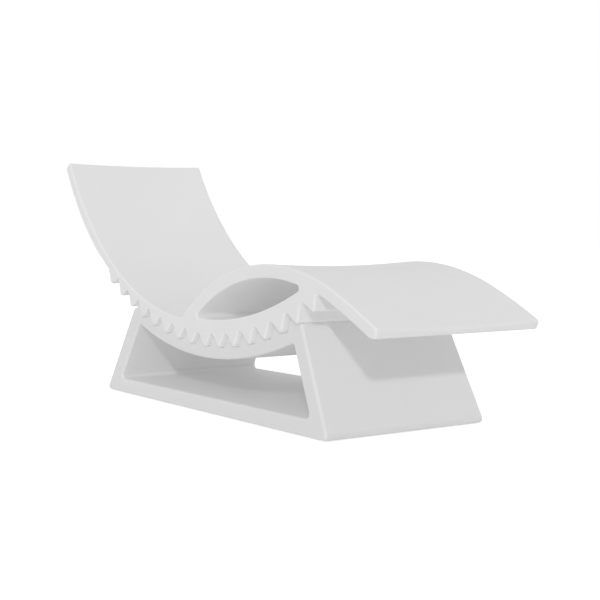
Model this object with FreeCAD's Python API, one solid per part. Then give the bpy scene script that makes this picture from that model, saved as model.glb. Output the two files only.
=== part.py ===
import FreeCAD, Part
import math
import os
from FreeCAD import Placement, Rotation, Vector

# A relaxation lounger made of two hollow polyethylene mouldings. The seat lies in the toothed cradle
# of the base, and lifting it out and setting it down some teeth further on changes its recline.
# Lengths are in millimetres and angles in degrees. The lounger is laid out with X along the sitter
# from head to foot, Y across towards the sitter's left, Z up from the floor, and X = 0 below the
# centre of the rack's circle. The export moves it so that its box is centred over the origin.

# Both mouldings
width = 510.0
wall = 4.0
rim_radius = 6.0

# Rack: the seat's teeth, on a circle whose centre is high above the lounger
rack_radius = 1234.0
rack_height = 219.0
tooth_pitch = 78.4
tooth_depth = 34.5
root_depth = 15.0
tip_radius = 9.0
root_radius = 13.5
ridge_radius = 14.0
groove_radius = 8.0
seat_tooth_count = 16
base_tooth_count = 12
teeth_behind_centre = 8
flank_clearance = 0.3

# Seat back
plain_run = 44.0
back_radius = 919.0
back_arc_length = 446.0
back_top_thickness = 37.0
back_waist_thickness = 31.5
valley_thickness = 35.0
valley_offset = 161.0
valley_radius = 50.0
back_top_radius = 9.0
dish_depth = 9.0

# Seat arch and leg rest, placed from the root in front of the last tooth
front_root_run = 37.0
crest_setback = 231.0
arch_radius = 762.0
arch_front_length = 308.0
leg_radius = 1800.0
leg_length = 185.0
leg_thickness = 34.0
foot_end_radius = 12.0
leg_root_radius = 12.0

# Eye-shaped opening under the arch
eye_floor_thickness = 46.0
arch_thickness = 34.5
eye_roof_radius = 694.0
eye_corner_radius = 8.0

# Base
base_rear_reach = 656.0
base_front_reach = 602.0
rear_lip = 13.0
front_cutback = 13.0
side_draft = 3.8
base_corner_radius = 14.0
lip_radius = 10.0
cradle_thickness = 29.5
floor_thickness = 45.0
rear_wall_thickness = 60.0
front_wall_thickness = 52.0
opening_corner_radius = 14.0

# Feet, their screws and the inserts moulded into the base
foot_diameter = 40.0
foot_height = 6.0
foot_stand = 2.0
foot_edge_radius = 1.0
foot_clearance = 0.3
foot_end_inset = 75.0
foot_side_inset = 45.0
screw_diameter = 6.0
screw_length = 14.0
screw_head_diameter = 12.0
screw_head_height = 2.4
screw_head_lift = 1.0
screw_edge_radius = 0.4
screw_socket_width = 4.0
screw_socket_depth = 1.4
screw_clearance = 0.2
screw_tip_gap = 1.6
insert_diameter = 10.0
insert_end = 2.0
insert_clearance = 0.05
boss_wall = 6.0

# Vent plugs
plug_diameter = 12.0
plug_length = 9.0
plug_head_diameter = 20.0
plug_head_height = 1.6
plug_edge_radius = 0.5
plug_recess = 1.0
plug_clearance = 0.1
seat_plug_setback = 150.0
base_plug_setback = 356.0

# How far a cutter runs past what it cuts, and how close an edge lies to the point that picks it
overrun = 15.0
pick_distance = 0.6

# The seat's dished surface is lofted through this many sections
dish_sections = 5


# Circles, lines and outlines in the side view
def below(centre, radius, angle):
    """Point of a circle, by its angle from straight down, positive towards the foot end."""
    return centre + Vector(radius * math.sin(angle), 0, -radius * math.cos(angle))


def above(centre, radius, angle):
    """Point of a circle, by its angle from straight up, positive towards the foot end."""
    return centre + Vector(radius * math.sin(angle), 0, radius * math.cos(angle))


def arc(centre, start, end):
    """Arc of less than a half turn about a centre."""
    middle = (start - centre) + (end - centre)
    middle.normalize()
    return Part.Arc(start, centre + middle * (start - centre).Length, end).toShape()


def meet(first, first_radius, second, second_radius, side):
    """Where two circles cross, towards the foot end (1) or the head end (-1)."""
    axis = second - first
    distance = axis.Length
    axis.normalize()
    along = (distance**2 + first_radius**2 - second_radius**2) / (2 * distance)
    across = math.sqrt(first_radius**2 - along**2)
    square = Vector(axis.z, 0, -axis.x) * math.copysign(1, axis.z)
    return first + axis * along + square * (across * side)


def crossing(start, heading, other_start, other_heading):
    """Where two straight lines cross."""
    gap = other_start - start
    reach = gap.x * other_heading.z - gap.z * other_heading.x
    turn = heading.x * other_heading.z - heading.z * other_heading.x
    return start + heading * (reach / turn)


def chain(points):
    return [Part.makeLine(start, end) for start, end in zip(points, points[1:])]


def prism(edges, half_width):
    """Solid of a side view's outline between two upright planes."""
    outline = Part.Face(Part.Wire(Part.__sortEdges__(edges)))
    outline.translate(Vector(0, -half_width, 0))
    return outline.extrude(Vector(0, 2 * half_width, 0))


# Rounding
def round_across(solid, points, radius):
    """Round the edges that run from side to side through the given points of the side view."""
    picked = []
    for edge in solid.Edges:
        ends = [vertex.Point for vertex in edge.Vertexes]
        misses = [min(math.hypot(end.x - p.x, end.z - p.z) for p in points) for end in ends]
        if len(ends) == 2 and abs(ends[0].y - ends[1].y) > pick_distance and max(misses) < pick_distance:
            picked.append(edge)
    return solid.makeFillet(radius, picked)


def round_rims(solid, draft):
    """Round every edge of the two side faces, which lean inwards by the draft angle."""
    slope = math.tan(math.radians(draft))
    picked = []
    for edge in solid.Edges:
        middle = edge.valueAt((edge.FirstParameter + edge.LastParameter) / 2)
        places = [vertex.Point for vertex in edge.Vertexes] + [middle]
        if all(abs(abs(p.y) + p.z * slope - width / 2) < pick_distance for p in places):
            picked.append(edge)
    return solid.makeFillet(rim_radius, picked)


# Rack, which the seat and the base share
rack_centre = Vector(0, 0, rack_height + rack_radius)
pitch_angle = tooth_pitch / rack_radius
inner_radius = rack_radius - root_depth
tip_half_angle = math.atan2(
    inner_radius * math.sin(pitch_angle / 2),
    rack_radius + tooth_depth - inner_radius * math.cos(pitch_angle / 2),
)
root_half_angle = tip_half_angle + pitch_angle / 2
first_groove = teeth_behind_centre - base_tooth_count // 2
last_groove = first_groove + base_tooth_count
first_root_angle = -(teeth_behind_centre * pitch_angle + pitch_angle / 2)


def rack_tip(index, outward):
    """Sharp tip of a seat tooth, with its flanks moved outward."""
    radius = rack_radius + tooth_depth + outward / math.sin(tip_half_angle)
    return below(rack_centre, radius, (index - teeth_behind_centre) * pitch_angle)


def rack_root(index, outward):
    """Sharp root behind a seat tooth, with its flanks moved outward."""
    radius = inner_radius + outward / math.sin(root_half_angle)
    return below(rack_centre, radius, (index - teeth_behind_centre) * pitch_angle - pitch_angle / 2)


def rear_root(inset):
    """Shallow root behind the first tooth, where the plain run of the back starts."""
    return below(rack_centre, rack_radius - inset, first_root_angle)


# Seat back
blend_angle = first_root_angle - plain_run / rack_radius
back_centre = below(rack_centre, rack_radius - back_radius, blend_angle)
back_end_angle = blend_angle - back_arc_length / back_radius

# Arch and leg rest, with the leg rest's underside through the root in front of the last tooth
last_tooth_angle = (seat_tooth_count - 1 - teeth_behind_centre) * pitch_angle
leg_root = below(rack_centre, rack_radius, last_tooth_angle + front_root_run / rack_radius)
leg_under_radius = leg_radius - leg_thickness
leg_blend_angle = arch_front_length / arch_radius
leg_end_angle = leg_blend_angle + leg_length / leg_radius
crest_x = leg_root.x - crest_setback
leg_centre_x = crest_x - (leg_radius - arch_radius) * math.sin(leg_blend_angle)
leg_root_rise = math.sqrt(leg_under_radius**2 - (leg_root.x - leg_centre_x) ** 2)
leg_centre = Vector(leg_centre_x, 0, leg_root.z - leg_root_rise)
arch_centre = above(leg_centre, leg_radius - arch_radius, leg_blend_angle)
eye_roof_centre = arch_centre + Vector(0, 0, arch_radius - arch_thickness - eye_roof_radius)


def top_edges(lift, over):
    """The sitter's surface in the side view, lifted off the real one and run past both ends."""
    top = below(back_centre, back_radius - back_top_thickness - lift, back_end_angle)
    waist = below(rack_centre, rack_radius - back_waist_thickness - lift, first_root_angle)
    valley = below(rack_centre, rack_radius - valley_thickness - lift, -valley_offset / rack_radius)
    face = Part.Circle(top, waist, valley)
    valley_centre = meet(
        face.Center, face.Radius - valley_radius, arch_centre, arch_radius + lift + valley_radius, -1
    )
    face_end = face.Center + (valley_centre - face.Center).normalize() * face.Radius
    arch_start = valley_centre + (arch_centre - valley_centre).normalize() * valley_radius
    top_angle = math.atan2(top.x - face.Center.x, face.Center.z - top.z) - over / face.Radius
    start = below(face.Center, face.Radius, top_angle)
    leg_start = above(arch_centre, arch_radius + lift, leg_blend_angle)
    end = above(leg_centre, leg_radius + lift, leg_end_angle + over / leg_radius)
    edges = [
        arc(face.Center, start, face_end),
        arc(valley_centre, face_end, arch_start),
        arc(arch_centre, arch_start, leg_start),
        arc(leg_centre, leg_start, end),
    ]
    return edges, start, end


def seat_corners(inset):
    """Corners of the seat's side view: the last tooth's front root, the foot end and the back's top."""
    leg_angle = leg_end_angle - inset / leg_radius
    back_angle = back_end_angle + inset / back_radius
    front_root = meet(rack_centre, rack_radius - inset, leg_centre, leg_under_radius + inset, 1)
    foot_under = above(leg_centre, leg_under_radius + inset, leg_angle)
    foot_top = above(leg_centre, leg_radius - inset, leg_angle)
    back_outer = below(back_centre, back_radius - inset, back_angle)
    back_top = below(back_centre, back_radius - back_top_thickness + inset, back_angle)
    return front_root, foot_under, foot_top, back_outer, back_top


def seat_block(inset):
    """The seat across its whole width, with its top too high for the dish to be cut from."""
    front_root, foot_under, foot_top, back_outer, back_top = seat_corners(inset)
    blend = below(rack_centre, rack_radius - inset, blend_angle)
    edges, top_start, top_end = top_edges(overrun, -inset)
    teeth = [front_root]
    for index in reversed(range(seat_tooth_count)):
        teeth += [rack_tip(index, -inset), rack_root(index, -inset)]
    teeth[-1:] = [rear_root(inset), blend]
    edges += chain(teeth)
    edges += [
        Part.makeLine(top_end, foot_under),
        arc(leg_centre, foot_under, front_root),
        arc(back_centre, blend, back_outer),
        Part.makeLine(back_outer, top_start),
    ]
    return prism(edges, width / 2 - inset)


def eye_cutter(inset):
    floor_radius = rack_radius - eye_floor_thickness + inset
    roof_radius = eye_roof_radius + inset
    rear = meet(rack_centre, floor_radius, eye_roof_centre, roof_radius, -1)
    front = meet(rack_centre, floor_radius, eye_roof_centre, roof_radius, 1)
    edges = [arc(rack_centre, rear, front), arc(eye_roof_centre, front, rear)]
    cutter = prism(edges, width / 2 + overrun)
    return round_across(cutter, [rear, front], eye_corner_radius + inset)


def dish_cutter(inset):
    """Everything over the sitter's surface, which sinks towards the middle of the width."""
    half_width = width / 2
    sections = []
    for step in range(dish_sections):
        y = (half_width + overrun) * (2 * step / (dish_sections - 1) - 1)
        sink = dish_depth * (1 - (y / half_width) ** 2) + inset
        edges, start, end = top_edges(-sink, overrun)
        roof = start.z + sink + overrun
        edges += chain([end, Vector(end.x, 0, roof), Vector(start.x, 0, roof), start])
        section = Part.Wire(Part.__sortEdges__(edges))
        section.translate(Vector(0, y, 0))
        sections.append(section)
    return Part.makeLoft(sections, True)


def seat_form(inset):
    """The seat as a solid, or with an inset of one wall the hollow inside it."""
    front_root, foot_under, foot_top, back_outer, back_top = seat_corners(inset)
    tips = [rack_tip(index, -inset) for index in range(seat_tooth_count)]
    roots = [rack_root(index, -inset) for index in range(1, seat_tooth_count)]
    solid = round_across(seat_block(inset), tips, tip_radius - inset)
    solid = round_across(solid, roots, root_radius + inset)
    solid = round_across(solid, [rear_root(inset), front_root], leg_root_radius + inset)
    solid = solid.cut(eye_cutter(inset)).cut(dish_cutter(inset))
    solid = round_across(solid, [foot_under, foot_top], foot_end_radius - inset)
    return round_across(solid, [back_outer, back_top], back_top_radius - inset)


# Base, whose end walls rise from the floor to the lips of the cradle
rear_foot = Vector(-base_rear_reach, 0, foot_stand)
front_foot = Vector(base_front_reach, 0, foot_stand)
rear_top = rack_tip(first_groove, flank_clearance) - Vector(rear_lip, 0, 0)
last_flank = (rack_root(last_groove, 0) - rack_tip(last_groove, 0)).normalize()
front_top = rack_tip(last_groove, flank_clearance) + last_flank * front_cutback
rear_rise = (rear_top - rear_foot).normalize()
front_rise = (front_top - front_foot).normalize()


def base_corners(rear, front, floor, outward):
    """Corners of the base's side view, moved in from its end walls, its underside and the seat."""
    level = Vector(1, 0, 0)
    rear_start = rear_foot + level * (rear / rear_rise.z)
    front_start = front_foot - level * (front / front_rise.z)
    low = rear_foot + Vector(0, 0, floor)
    return [
        crossing(low, level, rear_start, rear_rise),
        crossing(low, level, front_start, front_rise),
        crossing(rack_tip(last_groove, outward), last_flank, front_start, front_rise),
        crossing(rack_tip(first_groove, outward), level, rear_start, rear_rise),
    ]


def ridge_points(outward):
    """The cradle's ridges, which stand between the seat's teeth."""
    return [rack_root(index, outward) for index in range(first_groove + 1, last_groove + 1)]


def groove_points(outward):
    """The cradle's grooves, under the seat's teeth, with the two half grooves at its ends."""
    return [rack_tip(index, outward) for index in range(first_groove, last_groove + 1)]


def base_block(inset):
    """The base without its opening, with end walls and a zigzag cradle."""
    outward = flank_clearance + inset
    rear_low, front_low, front_high, rear_high = base_corners(inset, inset, inset, outward)
    outline = [rear_low, front_low, front_high]
    for groove, ridge in zip(reversed(groove_points(outward)[:-1]), reversed(ridge_points(outward))):
        outline += [ridge, groove]
    outline += [rear_high, rear_low]
    return prism(chain(outline), width)


def taper_block(inset):
    """The drafted sides of the base, as one long wedge."""
    slope = math.tan(math.radians(side_draft))
    high = rack_centre.z
    low_half = width / 2 - inset
    high_half = low_half - high * slope
    corners = [
        Vector(-rack_centre.z, -low_half, 0),
        Vector(-rack_centre.z, low_half, 0),
        Vector(-rack_centre.z, high_half, high),
        Vector(-rack_centre.z, -high_half, high),
    ]
    outline = Part.Face(Part.Wire(chain(corners + corners[:1])))
    return outline.extrude(Vector(2 * rack_centre.z, 0, 0))


def opening_cutter(inset):
    """The opening through the base, between its end walls, its floor and the cradle."""
    rear = rear_wall_thickness - inset
    front = front_wall_thickness - inset
    corners = base_corners(rear, front, floor_thickness - inset, flank_clearance)
    radius = rack_radius + tooth_depth + cradle_thickness - inset
    start = rack_centre - Vector(0, width, 0)
    cradle = Part.makeCylinder(radius, 2 * width, start, Vector(0, 1, 0))
    cutter = prism(chain(corners + corners[:1]), width / 2 + overrun).cut(cradle)
    edges = [edge for edge in cutter.Edges if edge.BoundBox.YLength > width]
    return cutter.makeFillet(opening_corner_radius + inset, edges)


def base_form(inset):
    """The base as a solid, or with an inset of one wall the hollow inside it."""
    outward = flank_clearance + inset
    rear_low, front_low, front_high, rear_high = base_corners(inset, inset, inset, outward)
    solid = base_block(inset).common(taper_block(inset)).cut(opening_cutter(inset))
    solid = round_across(solid, ridge_points(outward), ridge_radius - inset)
    solid = round_across(solid, groove_points(outward)[1:-1], groove_radius + inset)
    solid = round_across(solid, [rear_high, front_high], lip_radius - inset)
    return round_across(solid, [rear_low, front_low], base_corner_radius - inset)


# Feet, each with a screw and an insert over it, drawn on the Z axis and standing on the floor
screw_ledge = screw_head_lift + screw_head_height
screw_tip = screw_ledge + screw_length
insert_top = screw_tip + screw_tip_gap + insert_end
socket_corner_radius = screw_socket_width / (2 * math.cos(math.pi / 6))


def disc(radius, low, high):
    """Upright cylinder between two heights."""
    return Part.makeCylinder(radius, high - low, Vector(0, 0, low))


def round_foot_of(solid, radius):
    """Round the lowest edge of a disc."""
    low = [edge for edge in solid.Edges if edge.BoundBox.ZMax < solid.BoundBox.ZMin + pick_distance]
    return solid.makeFillet(radius, low)


def foot():
    body = round_foot_of(disc(foot_diameter / 2, 0, foot_height), foot_edge_radius)
    body = body.cut(disc(screw_head_diameter / 2 + screw_clearance, 0, screw_ledge))
    return body.cut(disc(screw_diameter / 2 + screw_clearance, 0, foot_height))


def foot_screw():
    head = disc(screw_head_diameter / 2, screw_head_lift, screw_ledge)
    head = round_foot_of(head, screw_edge_radius)
    angles = [math.pi / 3 * side for side in range(7)]
    corners = [Vector(math.cos(angle), math.sin(angle), 0) * socket_corner_radius for angle in angles]
    socket = Part.Face(Part.Wire(chain(corners))).extrude(Vector(0, 0, screw_socket_depth))
    socket.translate(Vector(0, 0, screw_head_lift))
    return head.cut(socket).fuse(disc(screw_diameter / 2, screw_ledge, screw_tip))


def foot_insert():
    bore = disc(screw_diameter / 2 + screw_clearance, foot_height, insert_top - insert_end)
    return disc(insert_diameter / 2, foot_height, insert_top).cut(bore)


def foot_pocket():
    """Room that the base leaves for a foot and its insert."""
    pocket = disc(foot_diameter / 2 + foot_clearance, 0, foot_height)
    insert_radius = insert_diameter / 2 + insert_clearance
    return pocket.fuse(disc(insert_radius, 0, insert_top + insert_clearance))


def foot_boss():
    """Plastic round that room, inside the base's hollow."""
    dome = disc(foot_diameter / 2 + foot_clearance + wall, 0, foot_height + wall)
    boss_radius = insert_diameter / 2 + insert_clearance + boss_wall
    return dome.fuse(disc(boss_radius, 0, insert_top + insert_clearance + boss_wall))


# Vent plugs, drawn on the Z axis with the skin's outer face at zero and the hollow above it
def plug():
    head = disc(plug_head_diameter / 2, plug_recess - plug_head_height, plug_recess)
    shank = disc(plug_diameter / 2 - plug_clearance, plug_recess, plug_length)
    return round_foot_of(head, plug_edge_radius).fuse(shank)


def plug_hole():
    recess = disc(plug_head_diameter / 2 + plug_clearance, -overrun, plug_recess)
    return recess.fuse(disc(plug_diameter / 2, 0, plug_length))


# Places of the feet and the plugs
foot_rear_x = foot_end_inset - base_rear_reach
foot_front_x = base_front_reach - foot_end_inset
foot_y = width / 2 - foot_side_inset
foot_places = {
    "rear_left": Placement(Vector(foot_rear_x, foot_y, 0), Rotation()),
    "rear_right": Placement(Vector(foot_rear_x, -foot_y, 0), Rotation()),
    "front_left": Placement(Vector(foot_front_x, foot_y, 0), Rotation()),
    "front_right": Placement(Vector(foot_front_x, -foot_y, 0), Rotation()),
}
seat_plug_angle = leg_end_angle - seat_plug_setback / leg_under_radius
seat_plug_place = Placement(
    above(leg_centre, leg_under_radius, seat_plug_angle),
    Rotation(Vector(0, 1, 0), math.degrees(seat_plug_angle)),
)
base_plug_place = Placement(rear_foot + Vector(base_plug_setback, 0, 0), Rotation())


# Shells, which are hollow all through with one wall thickness
def seat_shell():
    solid = round_rims(seat_form(0), 0).cut(seat_form(wall))
    return solid.cut(plug_hole().transformed(seat_plug_place.toMatrix()))


def base_shell():
    hollow = base_form(wall)
    solid = round_rims(base_form(0), side_draft)
    pockets = []
    for place in foot_places.values():
        hollow = hollow.cut(foot_boss().transformed(place.toMatrix()))
        pockets.append(foot_pocket().transformed(place.toMatrix()))
    solid = solid.cut(hollow).cut(pockets)
    return solid.cut(plug_hole().transformed(base_plug_place.toMatrix()))


pieces = {
    "seat_shell": seat_shell(),
    "base_shell": base_shell(),
    "seat_vent_plug": plug().transformed(seat_plug_place.toMatrix()),
    "base_vent_plug": plug().transformed(base_plug_place.toMatrix()),
}
for corner, place in foot_places.items():
    pieces[f"foot_{corner}"] = foot().transformed(place.toMatrix())
    pieces[f"foot_screw_{corner}"] = foot_screw().transformed(place.toMatrix())
    pieces[f"foot_insert_{corner}"] = foot_insert().transformed(place.toMatrix())

# Export, with the lounger's box centred over the origin and its feet on the floor
box = Part.makeCompound(list(pieces.values())).optimalBoundingBox(True, False)
centring = Vector(-(box.XMin + box.XMax) / 2, -(box.YMin + box.YMax) / 2, -box.ZMin)
os.makedirs("parts", exist_ok=True)
for name, shape in pieces.items():
    shape.translate(centring)
    shape.exportStep(f"parts/{name}.step")
print("centring", centring, "box", box)
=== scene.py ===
import math

import bmesh
import bpy
from mathutils import Matrix, Vector


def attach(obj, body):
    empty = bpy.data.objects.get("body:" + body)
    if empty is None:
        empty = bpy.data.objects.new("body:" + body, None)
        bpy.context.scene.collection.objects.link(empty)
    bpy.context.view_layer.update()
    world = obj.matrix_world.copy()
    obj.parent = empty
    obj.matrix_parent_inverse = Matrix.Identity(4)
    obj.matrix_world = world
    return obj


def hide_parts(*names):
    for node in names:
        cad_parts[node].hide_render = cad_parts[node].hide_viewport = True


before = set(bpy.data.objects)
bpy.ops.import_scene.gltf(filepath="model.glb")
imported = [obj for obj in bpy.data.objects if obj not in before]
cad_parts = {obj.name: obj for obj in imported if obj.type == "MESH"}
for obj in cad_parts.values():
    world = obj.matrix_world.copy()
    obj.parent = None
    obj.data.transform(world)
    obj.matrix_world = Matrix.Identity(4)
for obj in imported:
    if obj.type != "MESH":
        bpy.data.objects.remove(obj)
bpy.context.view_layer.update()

# The lounger is symmetric about the XZ plane. Outlines are drawn in side view, in metres, with X from
# the head to the foot end and Z up, then bridged or extruded across the width.
rack = {
    "halfWidth": 0.255,
    "centreX": 0.08806,
    "radius": 1.234,
    "lowest": 0.219,
    "pitch": 0.0784,
    "toothDepth": 0.0345,
    "rootDepth": 0.015,
    "teethBehindCentre": 8,
    "seatTeeth": 16,
    "baseRidges": 12,
    "flankGap": 0.0003,
}

rackCentre = Vector((rack["centreX"], 0, rack["lowest"] + rack["radius"]))
pitchAngle = rack["pitch"] / rack["radius"]
firstGroove = rack["teethBehindCentre"] - rack["baseRidges"] // 2
lastGroove = firstGroove + rack["baseRidges"]
innerRadius = rack["radius"] - rack["rootDepth"]
tipHalfAngle = math.atan2(
    innerRadius * math.sin(pitchAngle / 2),
    rack["radius"] + rack["toothDepth"] - innerRadius * math.cos(pitchAngle / 2),
)
rootHalfAngle = tipHalfAngle + pitchAngle / 2


# Points in side view
def below(centre, radius, angle):  # angle from straight down, positive towards the foot end
    return centre + Vector((radius * math.sin(angle), 0, -radius * math.cos(angle)))


def above(centre, radius, angle):  # angle from straight up, positive towards the foot end
    return centre + Vector((radius * math.sin(angle), 0, radius * math.cos(angle)))


def toothTip(index, gap=0.0):
    radius = rack["radius"] + rack["toothDepth"] + gap / math.sin(tipHalfAngle)
    return below(rackCentre, radius, (index - rack["teethBehindCentre"]) * pitchAngle)


def toothRoot(index, gap=0.0):  # the root behind that tooth
    radius = innerRadius + gap / math.sin(rootHalfAngle)
    return below(rackCentre, radius, (index - rack["teethBehindCentre"] - 0.5) * pitchAngle)


def circlesMeet(first, firstRadius, second, secondRadius, side):  # side 1 is towards the foot end
    axis = second - first
    along = (axis.length_squared + firstRadius**2 - secondRadius**2) / (2 * axis.length)
    across = math.sqrt(firstRadius**2 - along**2)
    axis.normalize()
    square = Vector((axis.z, 0, -axis.x)) * math.copysign(1, axis.z)
    return first + axis * along + square * (across * side)


def circleThrough(a, b, c):  # centre of the circle through three points
    ab, ac = b - a, c - a
    turn = 2 * (ab.x * ac.z - ab.z * ac.x)
    x = (ac.z * ab.length_squared - ab.z * ac.length_squared) / turn
    z = (ab.x * ac.length_squared - ac.x * ab.length_squared) / turn
    return a + Vector((x, 0, z))


def linesCross(start, heading, otherStart, otherHeading):
    gap = otherStart - start
    reach = gap.x * otherHeading.z - gap.z * otherHeading.x
    turn = heading.x * otherHeading.z - heading.z * otherHeading.x
    return start + heading * (reach / turn)


# Drawing an outline with one selected vertex as the pen
class Pen:
    def __init__(self, y, point):  # y is the outline's place across the width
        self.across = Vector((0, y, 0))
        self.at = point + self.across
        seedSize = 0.01
        if bpy.context.mode != 'EDIT_MESH':
            bpy.ops.object.select_all(action='DESELECT')
            bpy.ops.mesh.primitive_plane_add(size=seedSize, location=self.at)
            bpy.ops.object.transform_apply(location=True)
            bpy.ops.object.mode_set(mode='EDIT')
            bpy.ops.mesh.select_mode(type='VERT')
            bpy.ops.mesh.select_all(action='SELECT')
        else:
            bpy.ops.mesh.select_mode(type='VERT')
            bpy.ops.mesh.select_all(action='DESELECT')
            bpy.ops.mesh.primitive_plane_add(size=seedSize, location=self.at)
        bpy.ops.mesh.merge(type='CENTER')

    def lineTo(self, point):
        target = point + self.across
        bpy.ops.mesh.extrude_vertices_move(TRANSFORM_OT_translate={"value": target - self.at})
        self.at = target

    def arcTo(self, centre, point, steps):
        middle, target = centre + self.across, point + self.across
        start, end = self.at - middle, target - middle
        angle = math.atan2(end.cross(start).y, start.dot(end))  # spin turns against the axis
        bpy.ops.mesh.spin(steps=steps, angle=angle, center=middle, axis=(0, 1, 0))
        self.at = target


# Picking by place: how near counts as there, in metres, and how sharp an edge has to be, in degrees
picking = {
    "corner": 0.0004,
    "endSlack": 0.0005,
    "side": 0.0002,
    "station": 0.0001,
    "weld": 0.00005,
    "linkEnd": 0.00001,
    "leastWidth": 0.001,
    "rimAngle": 30,
    "endAngle": 45,
}


def editMesh():
    return bmesh.from_edit_mesh(bpy.context.object.data)


def pick(mode, test):  # select every vertex, edge or face for which the test says yes
    bpy.ops.mesh.select_mode(type=mode)
    bpy.ops.mesh.select_all(action='DESELECT')
    mesh = editMesh()
    group = {'VERT': mesh.verts, 'EDGE': mesh.edges, 'FACE': mesh.faces}[mode]
    for item in group:
        if test(item):
            item.select_set(True)
    mesh.select_flush_mode()
    bmesh.update_edit_mesh(bpy.context.object.data)


def distance(vertex, point):  # in side view
    return math.hypot(vertex.co.x - point.x, vertex.co.z - point.z)


def isNear(vertex, point, reach=picking["corner"]):
    return distance(vertex, point) < reach


def runsAcross(edge):  # across the width
    return abs(edge.verts[0].co.y - edge.verts[1].co.y) >= picking["leastWidth"]


def bevelPicked(offset, segments):
    bpy.ops.mesh.bevel(
        offset=offset, segments=segments, profile=0.5, affect='EDGES', clamp_overlap=False, loop_slide=False,
    )


def roundPicked(radius, segments):  # the offset that gives this radius at the sharpest picked edge
    turn = max(edge.calc_face_angle(0) for edge in editMesh().edges if edge.select)
    bevelPicked(radius * math.tan(turn / 2), segments)


def roundCorner(points, radius, segments):
    pick('EDGE', lambda edge: runsAcross(edge) and any(
        all(isNear(vertex, point) for vertex in edge.verts) for point in points
    ))
    roundPicked(radius, segments)


def roundRims(slope, radius, segments):  # slope is how far each side leans in per metre of height
    def onSide(vertex):
        return abs(abs(vertex.co.y) + vertex.co.z * slope - rack["halfWidth"]) < picking["side"]

    def isRim(edge):
        if not all(onSide(vertex) for vertex in edge.verts) or not edge.is_manifold:
            return False
        return edge.calc_face_angle(0) > math.radians(picking["rimAngle"])

    pick('EDGE', isRim)
    bevelPicked(radius, segments)


def closeSide(slope, side, links, isPart):
    # Two edges link the hole to the outline, then the part picked by the test and the rest are filled
    def onSide(vertex):
        return abs(vertex.co.y * side + vertex.co.z * slope - rack["halfWidth"]) < picking["side"]

    linked = []
    for link in links:
        rim = [vertex for vertex in editMesh().verts if onSide(vertex)]
        ends = [min(rim, key=lambda vertex: distance(vertex, point)).co.copy() for point in link]
        pick('VERT', lambda vertex: any((vertex.co - end).length < picking["linkEnd"] for end in ends))
        bpy.ops.mesh.edge_face_add()
        linked += ends
    pick('EDGE', lambda edge: all(onSide(vertex) for vertex in edge.verts) and (
        edge.is_wire or (edge.is_boundary and isPart((edge.verts[0].co + edge.verts[1].co) / 2, linked))
    ))
    bpy.ops.mesh.edge_face_add()
    pick('EDGE', lambda edge: edge.is_boundary and all(onSide(vertex) for vertex in edge.verts))
    bpy.ops.mesh.edge_face_add()


def drill(place, lean, holes, sides=48):  # holes along one axis, each with its radius and both its ends
    piece = bpy.context.object
    axis = Vector((math.sin(lean), 0, math.cos(lean)))
    for radius, low, high in holes:
        bpy.ops.object.select_all(action='DESELECT')
        bpy.ops.mesh.primitive_cylinder_add(
            vertices=sides, radius=radius, depth=high - low,
            location=place + axis * (low + high) / 2, rotation=(0, lean, 0),
        )
        drillBit = bpy.context.object
        bpy.context.view_layer.objects.active = piece
        hole = piece.modifiers.new("hole", 'BOOLEAN')
        hole.object = drillBit
        hole.operation = 'DIFFERENCE'
        hole.solver = 'EXACT'
        bpy.ops.object.modifier_apply(modifier=hole.name)
        bpy.ops.object.delete()
        bpy.context.view_layer.objects.active = piece


shading = {
    "smoothAngle": 35,
    "faceWeight": 100,
}


def finishPiece(name, body, node, material):
    piece = bpy.context.object
    piece.name = name
    piece.data.name = name
    piece.data.materials.append(material)
    bpy.ops.object.select_all(action='DESELECT')
    piece.select_set(True)
    bpy.ops.object.shade_smooth_by_angle(angle=math.radians(shading["smoothAngle"]))
    weights = piece.modifiers.new("faceWeights", 'WEIGHTED_NORMAL')
    weights.weight = shading["faceWeight"]
    weights.keep_sharp = True
    bpy.ops.object.modifier_apply(modifier=weights.name)
    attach(piece, body)
    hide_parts(node)
    triangles = sum(len(face.vertices) - 2 for face in piece.data.polygons)
    print(name, "done,", triangles, "triangles")


# Seat: a high back, an arched lap with an eye through it and a leg rest, in one moulding
seat = {  # a rounding is its radius and its segments
    "plainRun": 0.044,
    "backRadius": 0.919,
    "backArc": 0.446,
    "backTopThickness": 0.037,
    "waistThickness": 0.0315,
    "valleyThickness": 0.035,
    "valleyOffset": 0.161,
    "valleyRadius": 0.05,
    "crestSetback": 0.231,
    "archRadius": 0.762,
    "archToLeg": 0.308,
    "frontRootRun": 0.037,
    "notchSetback": 0.012,
    "legRadius": 1.8,
    "legLength": 0.184,
    "legThickness": 0.034,
    "eyeFloorThickness": 0.0475,
    "eyeFloorShift": 0.013,
    "archThickness": 0.0365,
    "eyeRoofRadius": 0.694,
    "dishDepth": 0.009,
    "tipRounding": (0.009, 8),
    "rootRounding": (0.0135, 7),
    "legRootRounding": (0.012, 7),
    "footEndRounding": (0.0105, 8),
    "footUnderRun": 0.02,
    "footUnderRise": 0.009,
    "footBellyRounding": (0.03, 5),
    "footUnderRounding": (0.008, 7),
    "backTopRounding": (0.009, 8),
    "eyeCornerRounding": (0.008, 10),
    "rimRounding": (0.006, 6),
    "dishStations": 20,
    "faceSteps": 44,
    "valleySteps": 8,
    "archSteps": 36,
    "legSteps": 10,
    "backSteps": 26,
    "eyeSteps": 24,
    "plugSetback": 0.15,
}
ventHole = [(0.0101, -0.01, 0.001), (0.006, -0.01, 0.009)]  # the plug's head, then its shank

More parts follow.
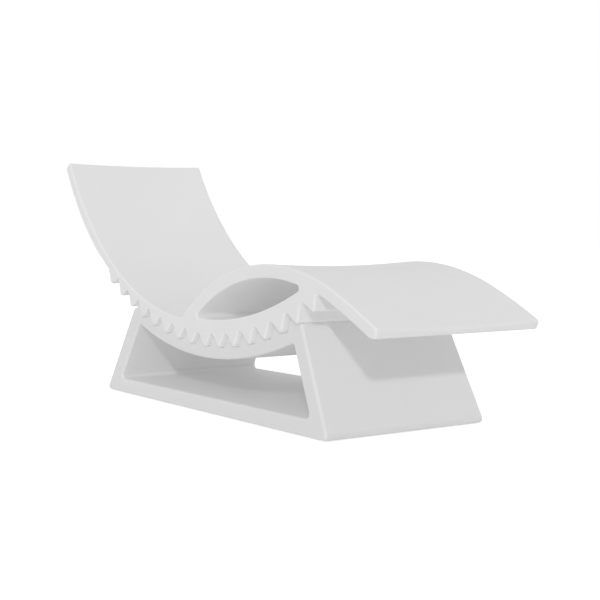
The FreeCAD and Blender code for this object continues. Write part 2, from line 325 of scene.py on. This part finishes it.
# The back's outer arc, past a short plain run behind the first tooth
rearRootAngle = -(rack["teethBehindCentre"] + 0.5) * pitchAngle
rearRoot = below(rackCentre, rack["radius"], rearRootAngle)
blendAngle = rearRootAngle - seat["plainRun"] / rack["radius"]
backBlend = below(rackCentre, rack["radius"], blendAngle)
backCentre = below(rackCentre, rack["radius"] - seat["backRadius"], blendAngle)
backEndAngle = blendAngle - seat["backArc"] / seat["backRadius"]
backOuter = below(backCentre, seat["backRadius"], backEndAngle)

# The arch and the leg rest, whose underside starts at the root in front of the last tooth
lastToothAngle = (rack["seatTeeth"] - 1 - rack["teethBehindCentre"]) * pitchAngle
frontRoot = below(rackCentre, rack["radius"], lastToothAngle + seat["frontRootRun"] / rack["radius"])
legUnderRadius = seat["legRadius"] - seat["legThickness"]
legBlendAngle = seat["archToLeg"] / seat["archRadius"]
legEndAngle = legBlendAngle + seat["legLength"] / seat["legRadius"]
legCentreX = (
    frontRoot.x - seat["crestSetback"]
    - (seat["legRadius"] - seat["archRadius"]) * math.sin(legBlendAngle)
)
legRise = math.sqrt(legUnderRadius**2 - (frontRoot.x - legCentreX) ** 2)
legCentre = Vector((legCentreX, 0, frontRoot.z - legRise))
archCentre = above(legCentre, seat["legRadius"] - seat["archRadius"], legBlendAngle)
roofDrop = seat["archRadius"] - seat["archThickness"] - seat["eyeRoofRadius"]
eyeRoofCentre = archCentre + Vector((0, 0, roofDrop))
frontRootAngle = math.asin((frontRoot.x - legCentre.x) / legUnderRadius)
notchAngle = frontRootAngle - seat["notchSetback"] / legUnderRadius
notchRoot = above(legCentre, legUnderRadius, notchAngle)
footTop = above(legCentre, seat["legRadius"], legEndAngle)
footUnder = above(legCentre, legUnderRadius + seat["footUnderRise"], legEndAngle)
footBelly = above(legCentre, legUnderRadius, legEndAngle - seat["footUnderRun"] / legUnderRadius)
backTop = below(backCentre, seat["backRadius"] - seat["backTopThickness"], backEndAngle)


def drawSeatOutline(y, sink):
    # Sitter's surface, sunk by the dish: face of the back, valley, arch and leg rest
    top = below(backCentre, seat["backRadius"] - seat["backTopThickness"] + sink, backEndAngle)
    waist = below(rackCentre, rack["radius"] - seat["waistThickness"] + sink, rearRootAngle)
    valleyAngle = -seat["valleyOffset"] / rack["radius"]
    valley = below(rackCentre, rack["radius"] - seat["valleyThickness"] + sink, valleyAngle)
    faceCentre = circleThrough(top, waist, valley)
    faceRadius = (top - faceCentre).length
    archRadius = seat["archRadius"] - sink
    valleyCentre = circlesMeet(
        faceCentre, faceRadius - seat["valleyRadius"], archCentre, archRadius + seat["valleyRadius"], -1
    )
    faceEnd = faceCentre + (valleyCentre - faceCentre).normalized() * faceRadius
    archStart = valleyCentre + (archCentre - valleyCentre).normalized() * seat["valleyRadius"]
    legStart = above(archCentre, archRadius, legBlendAngle)
    legEnd = above(legCentre, seat["legRadius"] - sink, legEndAngle)
    pen = Pen(y, top)
    pen.arcTo(faceCentre, faceEnd, seat["faceSteps"])
    pen.arcTo(valleyCentre, archStart, seat["valleySteps"])
    pen.arcTo(archCentre, legStart, seat["archSteps"])
    pen.arcTo(legCentre, legEnd, seat["legSteps"])
    # Foot end, underside of the leg rest, teeth from front to back, and the outside of the back
    pen.lineTo(footUnder)
    pen.lineTo(footBelly)
    pen.arcTo(legCentre, notchRoot, seat["legSteps"])
    for index in reversed(range(1, rack["seatTeeth"])):
        pen.lineTo(toothTip(index))
        pen.lineTo(toothRoot(index))
    pen.lineTo(toothTip(0))
    pen.lineTo(rearRoot)
    pen.lineTo(backBlend)
    pen.arcTo(backCentre, backOuter, seat["backSteps"])
    pen.lineTo(top)


def roundTopEdge(corner, radius, segments):  # an end of the dished surface, whose edge dips by the dish
    reach = seat["dishDepth"] + picking["endSlack"]

    def isEnd(edge):
        if not runsAcross(edge) or not all(isNear(vertex, corner, reach) for vertex in edge.verts):
            return False
        return edge.calc_face_angle(0) > math.radians(picking["endAngle"])

    pick('EDGE', isEnd)
    roundPicked(radius, segments)


def drawEye(y):  # a lens with rounded corners, of which it returns the rear and the front end
    eyeFloorRadius = rack["radius"] - seat["eyeFloorThickness"]
    eyeFloorCentre = rackCentre + Vector((seat["eyeFloorShift"], 0, 0))
    rounding, roundingSteps = seat["eyeCornerRounding"]
    corners = []
    for side in (-1, 1):
        centre = circlesMeet(
            eyeFloorCentre, eyeFloorRadius - rounding, eyeRoofCentre, seat["eyeRoofRadius"] - rounding, side
        )
        onFloor = eyeFloorCentre + (centre - eyeFloorCentre).normalized() * eyeFloorRadius
        onRoof = eyeRoofCentre + (centre - eyeRoofCentre).normalized() * seat["eyeRoofRadius"]
        corners.append((centre, onFloor, onRoof))
    rear, front = corners
    pen = Pen(y, rear[2])
    pen.arcTo(rear[0], rear[1], roundingSteps)
    pen.arcTo(eyeFloorCentre, front[1], seat["eyeSteps"])
    pen.arcTo(front[0], front[2], roundingSteps)
    pen.arcTo(eyeRoofCentre, rear[2], seat["eyeSteps"])
    return rear[0] - Vector((rounding, 0, 0)), front[0] + Vector((rounding, 0, 0))


def makeSeatShell(material):
    half = rack["halfWidth"]
    stations = [half * (2 * step / seat["dishStations"] - 1) for step in range(seat["dishStations"] + 1)]
    for y in stations:
        drawSeatOutline(y, seat["dishDepth"] * (1 - (y / half) ** 2))
    bpy.ops.mesh.select_all(action='SELECT')
    bpy.ops.mesh.remove_doubles(threshold=picking["weld"])
    for near, far in zip(stations, stations[1:]):
        pick('EDGE', lambda edge: all(
            min(abs(vertex.co.y - near), abs(vertex.co.y - far)) < picking["station"] for vertex in edge.verts
        ) and abs(edge.verts[0].co.y - edge.verts[1].co.y) < picking["station"])
        bpy.ops.mesh.bridge_edge_loops()
    # The eye goes straight through from side to side
    eyeRear, eyeFront = drawEye(-half)
    pick('EDGE', lambda edge: edge.is_wire)
    bpy.ops.mesh.extrude_region_move(TRANSFORM_OT_translate={"value": (0, 2 * half, 0)})
    bpy.ops.mesh.select_all(action='SELECT')
    bpy.ops.mesh.remove_doubles(threshold=picking["weld"])
    bpy.ops.mesh.normals_make_consistent(inside=False)
    roundCorner([toothTip(index) for index in range(rack["seatTeeth"])], *seat["tipRounding"])
    roundCorner([toothRoot(index) for index in range(1, rack["seatTeeth"])], *seat["rootRounding"])
    roundCorner([rearRoot], *seat["legRootRounding"])
    roundCorner([notchRoot], *seat["legRootRounding"])
    roundCorner([footUnder], *seat["footUnderRounding"])
    roundCorner([footBelly], *seat["footBellyRounding"])
    roundCorner([backOuter], *seat["backTopRounding"])
    roundTopEdge(backTop, *seat["backTopRounding"])
    roundTopEdge(footTop, *seat["footEndRounding"])
    overEye = -math.asin((archCentre.x - eyeRear.x) / seat["archRadius"])
    valley = above(archCentre, seat["archRadius"], overEye)
    chord = eyeFront - eyeRear

    def isArch(place, linked):  # the arch and the leg rest, over the eye's two corners
        rise = (place.z - eyeRear.z) * chord.x - (place.x - eyeRear.x) * chord.z
        return place.x > notchRoot.x or (place.x > eyeRear.x and rise > 0)

    for side in (1, -1):
        closeSide(0, side, [(valley, eyeRear), (notchRoot, eyeFront)], isArch)
    bpy.ops.mesh.select_all(action='SELECT')
    bpy.ops.mesh.normals_make_consistent(inside=False)
    roundRims(0, *seat["rimRounding"])
    bpy.ops.object.mode_set(mode='OBJECT')
    plugAngle = legEndAngle - seat["plugSetback"] / legUnderRadius
    drill(above(legCentre, legUnderRadius, plugAngle), plugAngle, ventHole)
    finishPiece("seat_skin", "seat", "seat_shell", material)


# Base: two leaning end walls, a floor and a toothed cradle, drafted so that the sides lean in
base = {
    "rearReach": 0.656,
    "frontReach": 0.602,
    "stand": 0.002,
    "rearLip": 0.013,
    "frontCutback": 0.0105,
    "sideDraft": 3.8,
    "cradleThickness": 0.0295,
    "ceilingSlack": 0.05,
    "ceilingShift": -0.008,
    "floorThickness": 0.045,
    "rearWall": 0.06,
    "frontWall": 0.052,
    "bottomRounding": (0.014, 9),
    "lipRounding": (0.01, 6),
    "frontLipRounding": (0.013, 7),
    "ridgeRounding": (0.014, 8),
    "grooveRounding": (0.008, 7),
    "rimRounding": (0.0085, 6),
    "plugSetback": 0.356,
    "footInset": 0.075,
    "footSideInset": 0.045,
    "footHoles": [(0.0203, -0.01, 0.006), (0.00505, -0.01, 0.0211)],
    "openingRounding": (0.014, 9),
    "ceilingSteps": 26,
    "sideSpare": 0.01,
    "cornerRun": 0.03,
}

level = Vector((1, 0, 0))
rearFoot = Vector((rack["centreX"] - base["rearReach"], 0, base["stand"]))
frontFoot = Vector((rack["centreX"] + base["frontReach"], 0, base["stand"]))
rearTop = toothTip(firstGroove, rack["flankGap"]) - level * base["rearLip"]
lastFlank = (toothRoot(lastGroove) - toothTip(lastGroove)).normalized()
frontTop = toothTip(lastGroove, rack["flankGap"]) + lastFlank * base["frontCutback"]
rearRise = (rearTop - rearFoot).normalized()
frontRise = (frontTop - frontFoot).normalized()


def ceilingEnd(start, heading, centre, radius):  # where a wall meets the ceiling, below its centre
    toCentre = centre - start
    along = toCentre.dot(heading)
    return start + heading * (along - math.sqrt(radius**2 - toCentre.length_squared + along**2))


def makeBaseShell(material):
    wide = rack["halfWidth"] + base["sideSpare"]  # the draft cuts this away again
    slope = math.tan(math.radians(base["sideDraft"]))
    # Outline: floor, front wall, ridges and grooves of the cradle from front to back, rear wall
    pen = Pen(-wide, rearFoot)
    pen.lineTo(frontFoot)
    pen.lineTo(frontTop)
    for index in reversed(range(firstGroove, lastGroove)):
        pen.lineTo(toothRoot(index + 1, rack["flankGap"]))
        pen.lineTo(toothTip(index, rack["flankGap"]))
    pen.lineTo(rearTop)
    pen.lineTo(rearFoot)
    # Opening, whose ceiling follows the cradle
    low = rearFoot + Vector((0, 0, base["floorThickness"]))
    rearInner = rearFoot + level * (base["rearWall"] / rearRise.z)
    frontInner = frontFoot - level * (base["frontWall"] / frontRise.z)
    ceilingRadius = rack["radius"] + rack["toothDepth"] + base["cradleThickness"] + base["ceilingSlack"]
    ceilingCentre = rackCentre + Vector((base["ceilingShift"], 0, base["ceilingSlack"]))
    rearLow = linesCross(low, level, rearInner, rearRise)
    frontLow = linesCross(low, level, frontInner, frontRise)
    rearHigh = ceilingEnd(rearInner, rearRise, ceilingCentre, ceilingRadius)
    frontHigh = ceilingEnd(frontInner, frontRise, ceilingCentre, ceilingRadius)
    pen = Pen(-wide, rearLow)
    pen.lineTo(frontLow)
    pen.lineTo(frontHigh)
    pen.arcTo(ceilingCentre, rearHigh, base["ceilingSteps"])
    pen.lineTo(rearLow)
    bpy.ops.mesh.select_all(action='SELECT')
    bpy.ops.mesh.remove_doubles(threshold=picking["weld"])
    bpy.ops.mesh.extrude_region_move(TRANSFORM_OT_translate={"value": (0, 2 * wide, 0)})
    bpy.ops.mesh.select_all(action='SELECT')
    bpy.ops.mesh.normals_make_consistent(inside=False)
    ridges = [toothRoot(index + 1, rack["flankGap"]) for index in range(firstGroove, lastGroove)]
    grooves = [toothTip(index, rack["flankGap"]) for index in range(firstGroove + 1, lastGroove)]
    roundCorner(ridges, *base["ridgeRounding"])
    roundCorner(grooves, *base["grooveRounding"])
    roundCorner([rearTop], *base["lipRounding"])
    roundCorner([frontTop], *base["frontLipRounding"])
    roundCorner([rearFoot], *base["bottomRounding"])
    roundCorner([frontFoot], *base["bottomRounding"])
    for corner in (rearLow, frontLow, rearHigh, frontHigh):
        roundCorner([corner], *base["openingRounding"])
    # Drafted sides
    for side in (1, -1):
        bpy.ops.mesh.select_all(action='SELECT')
        bpy.ops.mesh.bisect(
            plane_co=(0, side * rack["halfWidth"], 0), plane_no=(0, side, slope), clear_outer=True,
        )

    def isFloor(place, linked):  # up to where the roundings of the opening's low corners end
        return place.z < max(end.z for end in linked)

    pastRear, pastFront = rearRise * base["cornerRun"], frontRise * base["cornerRun"]
    outerCorners = [rearFoot + pastRear, frontFoot + pastFront]
    innerCorners = [rearLow + pastRear, frontLow + pastFront]
    links = list(zip(outerCorners, innerCorners))
    for side in (1, -1):
        closeSide(slope, side, links, isFloor)
    bpy.ops.mesh.select_all(action='SELECT')
    bpy.ops.mesh.normals_make_consistent(inside=False)
    roundRims(slope, *base["rimRounding"])
    bpy.ops.object.mode_set(mode='OBJECT')
    # Underside: a vent hole and a pocket with a screw hole for each foot
    drill(rearFoot + level * base["plugSetback"], 0, ventHole)
    for x in (rearFoot.x + base["footInset"], frontFoot.x - base["footInset"]):
        for side in (1, -1):
            y = side * (rack["halfWidth"] - base["footSideInset"])
            drill(Vector((x, y, 0)), 0, base["footHoles"])
    finishPiece("base_skin", "base", "base_shell", material)


# Materials
patternSpan = (0.3, 0.7)  # where most values of a noise texture lie


def nodeGroup(name, inputs, outputs):
    group = bpy.data.node_groups.new(name, 'ShaderNodeTree')
    for label, kind, value in inputs:
        socket = group.interface.new_socket(label, in_out='INPUT', socket_type=kind)
        socket.default_value = value
    for label, kind in outputs:
        group.interface.new_socket(label, in_out='OUTPUT', socket_type=kind)
    return group


class NodeDesk:  # adds nodes and links to one tree
    def __init__(self, tree):
        self.tree = tree

    def add(self, kind, **settings):
        node = self.tree.nodes.new(kind)
        for key, value in settings.items():
            setattr(node, key, value)
        return node

    def link(self, source, target):
        self.tree.links.new(source, target)

    def feed(self, value, socket):  # a plain number is set, anything else is linked
        if isinstance(value, (int, float)):
            socket.default_value = value
        else:
            self.link(value, socket)

    def noise(self, vector, scale, detail, roughness=0.5):
        node = self.add('ShaderNodeTexNoise')
        self.link(vector, node.inputs["Vector"])
        self.feed(scale, node.inputs["Scale"])
        node.inputs["Detail"].default_value = detail
        node.inputs["Roughness"].default_value = roughness
        return node.outputs["Fac"]

    def mathNode(self, operation, first, second):
        node = self.add('ShaderNodeMath', operation=operation)
        self.feed(first, node.inputs[0])
        self.feed(second, node.inputs[1])
        return node.outputs[0]

    def spread(self, value, low, high):  # a 0 to 1 pattern stretched between two values
        node = self.add('ShaderNodeMapRange')
        self.link(value, node.inputs["Value"])
        node.inputs["From Min"].default_value = patternSpan[0]
        node.inputs["From Max"].default_value = patternSpan[1]
        self.feed(low, node.inputs["To Min"])
        self.feed(high, node.inputs["To Max"])
        return node.outputs["Result"]


mouldedPattern = {  # scale, detail and roughness of each noise; materials set the scales of grain and wave
    "grain": (3.0, 0.6),
    "wave": (1.0, 0.5),
    "cloud": (3.5, 4.0, 0.6),
    "rubbed": (28.0, 5.0, 0.65),
    "specks": (2400.0, 1.0, 0.5),
    "cloudShare": 0.6,
    "speckShare": 0.4,
    "rubbedRange": (0.88, 1.12),
    "grainHeight": 0.00006,
    "waveHeight": 0.0006,
}


def makeMouldedGrain():
    # Moulded plastic: fine orange peel, a slow wave of the wall, cloudy colour and rubbed patches
    group = nodeGroup("mouldedGrain", [
        ("Color", 'NodeSocketColor', (0.8, 0.8, 0.8, 1)),
        ("Dull Color", 'NodeSocketColor', (0.7, 0.7, 0.7, 1)),
        ("Roughness", 'NodeSocketFloat', 0.5),
        ("Grain Scale", 'NodeSocketFloat', 700.0),
        ("Wave Scale", 'NodeSocketFloat', 9.0),
    ], [
        ("Color", 'NodeSocketColor'),
        ("Roughness", 'NodeSocketFloat'),
        ("Height", 'NodeSocketFloat'),
    ])
    desk = NodeDesk(group)
    given = desk.add('NodeGroupInput')
    result = desk.add('NodeGroupOutput')
    place = desk.add('ShaderNodeTexCoord').outputs["Object"]
    grain = desk.noise(place, given.outputs["Grain Scale"], *mouldedPattern["grain"])
    wave = desk.noise(place, given.outputs["Wave Scale"], *mouldedPattern["wave"])
    cloud = desk.noise(place, *mouldedPattern["cloud"])
    rubbed = desk.noise(place, *mouldedPattern["rubbed"])
    specks = desk.noise(place, *mouldedPattern["specks"])
    cloudy = desk.mathNode('MULTIPLY', desk.spread(cloud, 0.0, 1.0), mouldedPattern["cloudShare"])
    speckled = desk.mathNode('MULTIPLY', desk.spread(specks, 0.0, 1.0), mouldedPattern["speckShare"])
    amount = desk.mathNode('ADD', cloudy, speckled)
    blend = desk.add('ShaderNodeMix', data_type='RGBA')
    desk.link(amount, blend.inputs["Factor"])
    desk.link(given.outputs["Color"], blend.inputs["A"])
    desk.link(given.outputs["Dull Color"], blend.inputs["B"])
    desk.link(blend.outputs["Result"], result.inputs["Color"])
    patches = desk.spread(rubbed, *mouldedPattern["rubbedRange"])
    rough = desk.mathNode('MULTIPLY', given.outputs["Roughness"], patches)
    desk.link(rough, result.inputs["Roughness"])
    fine = desk.mathNode('MULTIPLY', grain, mouldedPattern["grainHeight"])
    slow = desk.mathNode('MULTIPLY', wave, mouldedPattern["waveHeight"])
    desk.link(desk.mathNode('ADD', fine, slow), result.inputs["Height"])
    return group


def newMaterial(name, metallic=0.0):
    material = bpy.data.materials.new(name)
    material.use_nodes = True
    shader = material.node_tree.nodes["Principled BSDF"]
    shader.inputs["Metallic"].default_value = metallic
    return material, NodeDesk(material.node_tree), shader


def colour(level, warmth=0.0):  # a grey of this linear level, and how much warmer than neutral
    return (level * (1 + warmth), level, level * (1 - warmth), 1)


def mouldedMaterial(name, grain, look):
    material, desk, shader = newMaterial(name)
    group = desk.add('ShaderNodeGroup', node_tree=grain)
    group.inputs["Color"].default_value = look["colour"]
    group.inputs["Dull Color"].default_value = look["dullColour"]
    group.inputs["Roughness"].default_value = look["roughness"]
    group.inputs["Grain Scale"].default_value = look["grainScale"]
    group.inputs["Wave Scale"].default_value = look["waveScale"]
    bump = desk.add('ShaderNodeBump')
    bump.inputs["Strength"].default_value = look["bump"]
    bump.inputs["Distance"].default_value = 1.0
    desk.link(group.outputs["Height"], bump.inputs["Height"])
    shader.inputs["Specular IOR Level"].default_value = look["gloss"]
    desk.link(group.outputs["Color"], shader.inputs["Base Color"])
    desk.link(group.outputs["Roughness"], shader.inputs["Roughness"])
    desk.link(bump.outputs["Normal"], shader.inputs["Normal"])
    return material


def metalMaterial(name, look):
    # Turned metal: fine rings round the part's own upright axis, with a few darker spots
    material, desk, shader = newMaterial(name, metallic=1.0)
    place = desk.add('ShaderNodeTexCoord').outputs["Object"]
    stretch = desk.add('ShaderNodeMapping')
    stretch.inputs["Scale"].default_value = look["brush"]
    desk.link(place, stretch.inputs["Vector"])
    brushed = desk.noise(stretch.outputs["Vector"], 1.0, look["detail"])
    spots = desk.noise(place, look["spotScale"], look["detail"])
    blend = desk.add('ShaderNodeMix', data_type='RGBA')
    desk.link(desk.spread(spots, 0.0, 1.0), blend.inputs["Factor"])
    blend.inputs["A"].default_value = look["colour"]
    blend.inputs["B"].default_value = look["dullColour"]
    desk.link(blend.outputs["Result"], shader.inputs["Base Color"])
    smoothest, roughest = (look["roughness"] * share for share in look["roughRange"])
    desk.link(desk.spread(brushed, smoothest, roughest), shader.inputs["Roughness"])
    bump = desk.add('ShaderNodeBump')
    bump.inputs["Strength"].default_value = look["bump"]
    bump.inputs["Distance"].default_value = 1.0
    desk.link(desk.mathNode('MULTIPLY', brushed, look["ringHeight"]), bump.inputs["Height"])
    desk.link(bump.outputs["Normal"], shader.inputs["Normal"])
    return material


grain = makeMouldedGrain()
whitePolyethylene = {  # shared by both mouldings; the base's colour below is set darker than the seat's as painted shade on the same plastic
    "gloss": 0.2,
    "roughness": 0.58,
    "grainScale": 700.0,
    "waveScale": 9.0,
    "bump": 0.5,
}
seatPlastic = mouldedMaterial("seatPolyethylene", grain, {
    **whitePolyethylene,
    "colour": colour(0.775),
    "dullColour": colour(0.755),
})
# Painted shade: the same polyethylene as the seat, with its colour set darker so that it stands for shade on
# the base
shadedBasePlastic = mouldedMaterial("basePolyethyleneShaded", grain, {
    **whitePolyethylene,
    "colour": colour(0.713),
    "dullColour": colour(0.695),
})
plugPlastic = mouldedMaterial("plugPlastic", grain, {
    "colour": colour(0.68),
    "dullColour": colour(0.62),
    "gloss": 0.4,
    "roughness": 0.42,
    "grainScale": 1500.0,
    "waveScale": 60.0,
    "bump": 0.4,
})
footRubber = mouldedMaterial("footRubber", grain, {
    "colour": colour(0.055),
    "dullColour": colour(0.035),
    "gloss": 0.3,
    "roughness": 0.8,
    "grainScale": 1800.0,
    "waveScale": 90.0,
    "bump": 0.9,
})
turnedMetal = {
    "detail": 3.0,
    "spotScale": 420.0,
    "roughRange": (0.75, 1.25),
    "bump": 0.4,
    "ringHeight": 0.00004,
}
screwSteel = metalMaterial("screwSteel", {
    **turnedMetal,
    "colour": colour(0.56, 0.01),
    "dullColour": colour(0.44, 0.01),
    "roughness": 0.32,
    "brush": (300.0, 300.0, 4000.0),
})
insertBrass = metalMaterial("insertBrass", {
    **turnedMetal,
    "colour": (0.78, 0.57, 0.27, 1),
    "dullColour": (0.6, 0.42, 0.19, 1),
    "roughness": 0.35,
    "brush": (400.0, 400.0, 3000.0),
})
print("materials made:", len(bpy.data.materials))

bpy.ops.object.select_all(action='DESELECT')
makeSeatShell(seatPlastic)
makeBaseShell(shadedBasePlastic)

# The small parts keep their CAD solids, and the first of these words in a part's name sets its finish
finishes = [("screw", screwSteel), ("insert", insertBrass), ("foot", footRubber), ("plug", plugPlastic)]
for name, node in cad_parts.items():
    fitting = [finish for word, finish in finishes if word in name]
    if fitting:
        node.data.materials.clear()
        node.data.materials.append(fitting[0])
print("finishes set on the small parts")

# Studio: a white floor and surround, even light from all round and one soft key light
studio = {
    "floorSize": 60.0,
    "floorColour": 0.8,
    "floorRoughness": 0.9,
    "floorGlow": 0.42,
    "surround": 0.62,
    "keyStrength": 0.69,
    "keyAngle": 3.0,
    "keyDirection": (0.745, -0.537, 0.396),
    "lampDistance": 6,
    "fillAngle": 20,
    "fills": {  # even light that casts no shadows: where it comes from and its strength
        "foot_fill": ((1, 0, 0), 0.26),
        "head_fill": ((-1, 0, 0), 0.26),
        "near_fill": ((0, -1, 0), 0.49),
        "far_fill": ((0, 1, 0), 0.49),
        "top_fill": ((0, 0, 1), 0.36),
        "low_fill": ((0, 0, -1), 0.42),
    },
}


def whenSeen(desk):  # 1 for camera, mirror and glass rays
    path = desk.add('ShaderNodeLightPath')
    seen = desk.mathNode('MAXIMUM', path.outputs["Is Camera Ray"], path.outputs["Is Glossy Ray"])
    return desk.mathNode('MAXIMUM', seen, path.outputs["Is Transmission Ray"])


def makeFloor():
    bpy.ops.object.select_all(action='DESELECT')
    bpy.ops.mesh.primitive_plane_add(size=studio["floorSize"], location=(0, 0, 0))
    floor = bpy.context.object
    floor.name = "studio_floor"
    material, desk, shader = newMaterial("paleFloor")
    shader.inputs["Roughness"].default_value = studio["floorRoughness"]
    shader.inputs["Base Color"].default_value = colour(studio["floorColour"])
    glow = desk.add('ShaderNodeEmission')
    desk.link(desk.mathNode('MULTIPLY', whenSeen(desk), studio["floorGlow"]), glow.inputs["Strength"])
    both = desk.add('ShaderNodeAddShader')
    desk.link(shader.outputs["BSDF"], both.inputs[0])
    desk.link(glow.outputs["Emission"], both.inputs[1])
    desk.link(both.outputs["Shader"], desk.tree.nodes["Material Output"].inputs["Surface"])
    floor.data.materials.append(material)


def makeSurround():
    world = bpy.data.worlds.new("surround")
    bpy.context.scene.world = world
    world.use_nodes = True
    desk = NodeDesk(world.node_tree)
    strength = desk.add('ShaderNodeMapRange')
    desk.link(whenSeen(desk), strength.inputs["Value"])
    strength.inputs["To Min"].default_value = studio["surround"]
    strength.inputs["To Max"].default_value = 1.0
    sky = world.node_tree.nodes["Background"]
    sky.inputs["Color"].default_value = (1, 1, 1, 1)
    desk.link(strength.outputs["Result"], sky.inputs["Strength"])


def addSun(name, direction, strength, angle, castsShadow):
    bpy.ops.object.light_add(type='SUN', location=Vector(direction) * studio["lampDistance"])
    lamp = bpy.context.object
    lamp.name = name
    lamp.data.energy = strength
    lamp.data.angle = math.radians(angle)
    lamp.data.use_shadow = castsShadow
    lamp.rotation_mode = 'QUATERNION'
    lamp.rotation_quaternion = Vector(direction).to_track_quat('Z', 'Y')  # a sun shines down its own Z


makeFloor()
makeSurround()
addSun("key_light", studio["keyDirection"], studio["keyStrength"], studio["keyAngle"], True)
for name, (direction, strength) in studio["fills"].items():
    addSun(name, direction, strength, studio["fillAngle"], False)

# Camera, set to the photograph's view
view = {
    "place": (2.94351, -1.83630, 0.48643),
    "lens": 69.728,
    "sensorWidth": 36,
    "heading": 56.259,
    "fall": 2.961,
    "roll": -0.313,
}
bpy.ops.object.camera_add()
camera = bpy.context.object
camera.name = "camera"
camera.data.lens = view["lens"]
camera.data.sensor_width = view["sensorWidth"]
camera.matrix_world = (
    Matrix.Translation(view["place"])
    @ Matrix.Rotation(math.radians(view["heading"]), 4, 'Z')
    @ Matrix.Rotation(math.radians(90 - view["fall"]), 4, 'X')
    @ Matrix.Rotation(math.radians(view["roll"]), 4, 'Z')
)
bpy.context.scene.camera = camera
bpy.context.scene.view_settings.view_transform = 'Standard'
print("studio and camera set")
